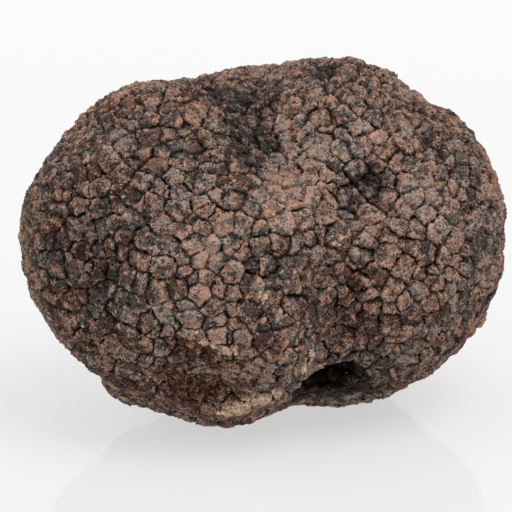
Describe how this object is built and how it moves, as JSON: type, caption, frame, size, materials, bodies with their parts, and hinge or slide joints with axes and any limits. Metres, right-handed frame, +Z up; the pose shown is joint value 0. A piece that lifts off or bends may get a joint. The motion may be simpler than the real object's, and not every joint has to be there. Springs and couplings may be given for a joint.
{
  "type": "black truffle",
  "caption": "Whole black truffle: a lumpy, two-lobed round body with a warty, cracked rind, a deep fold low on its front and a small flat spot that it rests on.",
  "frame": {"origin": "on the surface the truffle rests on, at the middle of its bounding box", "axes": "+Z up, +X along its longest way from the round lobe to the crowned lobe, -Y towards its front"},
  "size_m": [0.0718, 0.0596, 0.053],
  "materials": {
    "rind": "matte, warty and cracked, dusted with soil"
  },
  "bodies": {
    "root": {"truffle": "rind"}
  },
  "joints": []
}
